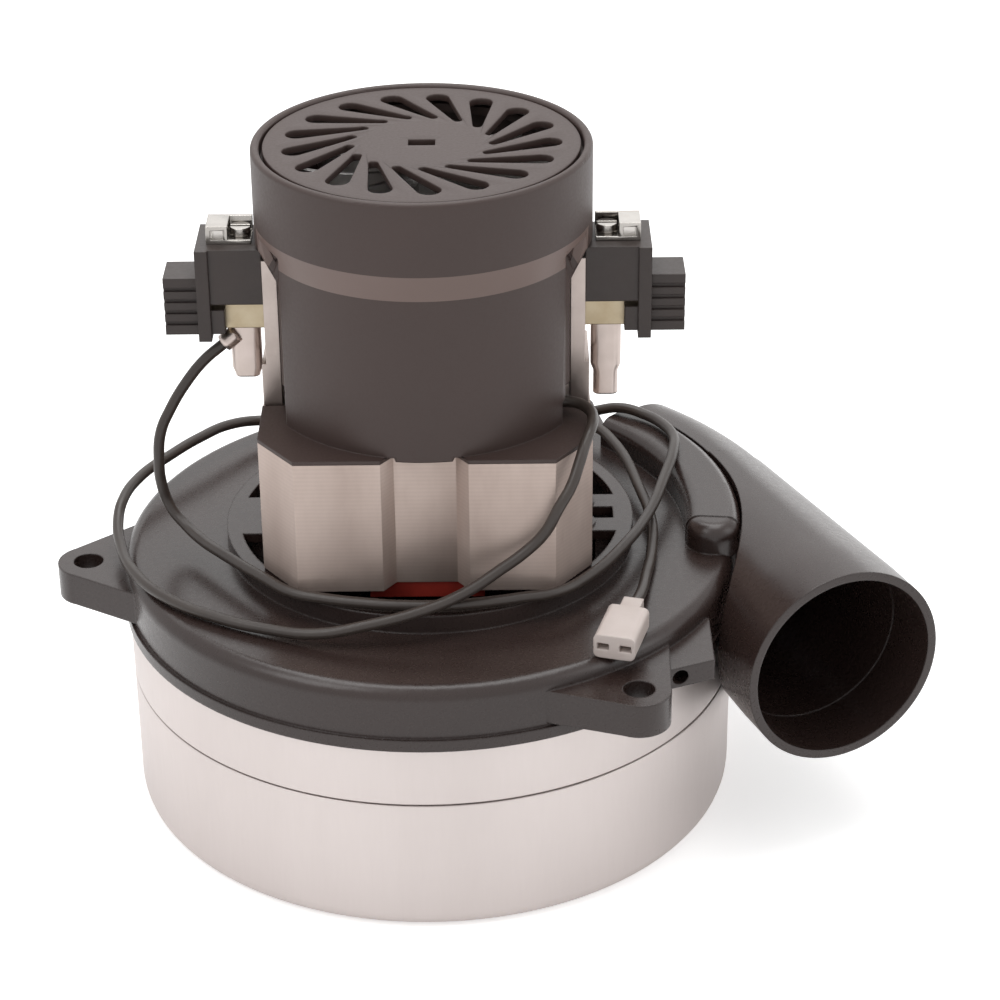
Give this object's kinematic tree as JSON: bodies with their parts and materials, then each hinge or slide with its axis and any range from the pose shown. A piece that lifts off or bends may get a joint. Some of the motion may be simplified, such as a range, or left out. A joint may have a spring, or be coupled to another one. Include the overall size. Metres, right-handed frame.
{
  "type": "vacuum motor unit",
  "caption": "Vacuum motor with a round fan case, tangential discharge horn, laminated stator, slotted vent cover, sprung brush holders and wire leads with connectors.",
  "frame": {"origin": "centre of the air inlet, on the fan case's outer bottom face", "axes": "+Z along the shaft towards the vent cover, +X to the right-hand brush holder, the horn discharges towards +X -Y"},
  "size_m": [0.2051, 0.1541, 0.1615],
  "materials": {
    "case_steel": "plated sheet, satin",
    "black_moulding": "moulded, semi-gloss",
    "cover_moulding": "moulded, fine grain",
    "laminations": "stacked sheet edges",
    "bracket_alloy": "stamped, bright",
    "fan_alloy": "rolled sheet",
    "magnet_wire": "varnished copper wire",
    "commutator_copper": "turned copper",
    "slot_insulation": "red sheet insulation",
    "bearing_steel": "ground",
    "cage_nylon": "moulded",
    "holder_moulding": "moulded",
    "brass": "drawn, bright",
    "zinc_steel": "zinc plated",
    "tin_plate": "tin plated",
    "lead_insulation": "smooth, satin",
    "connector_nylon": "translucent",
    "ground_steel": "ground",
    "hub_moulding": "moulded resin",
    "carbon": "pressed carbon",
    "spring_steel": "drawn wire"
  },
  "bodies": {
    "frame": {"inlet_shell": "case_steel", "stage_shell": "case_steel", "fan_end_bracket": "black_moulding", "discharge_horn": "black_moulding", "vent_cover": "cover_moulding", "vent_grille": "cover_moulding", "stator_core": "laminations", "end_bracket": "bracket_alloy", "diffuser": "fan_alloy", "field_coil_front": "magnet_wire", "field_coil_rear": "magnet_wire", "coil_wrap_front": "slot_insulation", "coil_wrap_rear": "slot_insulation", "bearing_lower_outer": "bearing_steel", "bearing_upper_outer": "bearing_steel", "brush_holder_left": "holder_moulding", "brush_holder_right": "holder_moulding", "brush_cap_left": "holder_moulding", "brush_cap_right": "holder_moulding", "brush_tube_left": "brass", "brush_tube_right": "brass", "holder_clip_left": "zinc_steel", "holder_clip_right": "zinc_steel", "clip_screws": "zinc_steel", "through_screws": "zinc_steel", "terminal_left": "tin_plate", "terminal_right": "tin_plate", "brush_lead": "lead_insulation", "field_lead": "lead_insulation", "brush_lead_connector": "connector_nylon", "field_lead_connector": "connector_nylon", "brush_spring_left": "spring_steel", "brush_spring_right": "spring_steel"},
    "rotor": {"shaft": "ground_steel", "armature_core": "laminations", "armature_winding": "magnet_wire", "commutator": "commutator_copper", "commutator_hub": "hub_moulding", "cooling_fan": "fan_alloy", "impeller_lower": "fan_alloy", "impeller_upper": "fan_alloy", "fan_spacer_lower": "ground_steel", "fan_spacer_upper": "ground_steel", "fan_washers": "zinc_steel", "fan_nut": "brass", "bearing_lower_inner": "bearing_steel", "bearing_upper_inner": "bearing_steel"},
    "lower_cage": {"bearing_lower_cage": "cage_nylon", "bearing_lower_balls": "bearing_steel"},
    "upper_cage": {"bearing_upper_cage": "cage_nylon", "bearing_upper_balls": "bearing_steel"},
    "left_brush": {"brush_left": "carbon"},
    "right_brush": {"brush_right": "carbon"}
  },
  "joints": [
    {"name": "rotor_spin", "type": "hinge", "parent": "frame", "child": "rotor", "pos_m": [0, 0, 0.084], "axis": [0, 0, 1], "continuous": true},
    {"name": "lower_cage_spin", "type": "hinge", "parent": "frame", "child": "lower_cage", "pos_m": [0, 0, 0.057], "axis": [0, 0, 1], "continuous": true},
    {"name": "upper_cage_spin", "type": "hinge", "parent": "frame", "child": "upper_cage", "pos_m": [0, 0, 0.1372], "axis": [0, 0, 1], "continuous": true},
    {"name": "left_brush_slide", "type": "slide", "parent": "frame", "child": "left_brush", "axis": [-1, 0, 0], "range_m": [0, 0.006], "stiffness_N_per_m": 300, "springref_m": -0.01, "deforming": ["brush_spring_left"]},
    {"name": "right_brush_slide", "type": "slide", "parent": "frame", "child": "right_brush", "axis": [1, 0, 0], "range_m": [0, 0.006], "stiffness_N_per_m": 300, "springref_m": -0.01, "deforming": ["brush_spring_right"]}
  ],
  "couplings": [
    {"joint": "lower_cage_spin", "follows": "rotor_spin", "ratio": 0.3684},
    {"joint": "upper_cage_spin", "follows": "rotor_spin", "ratio": 0.3684}
  ]
}
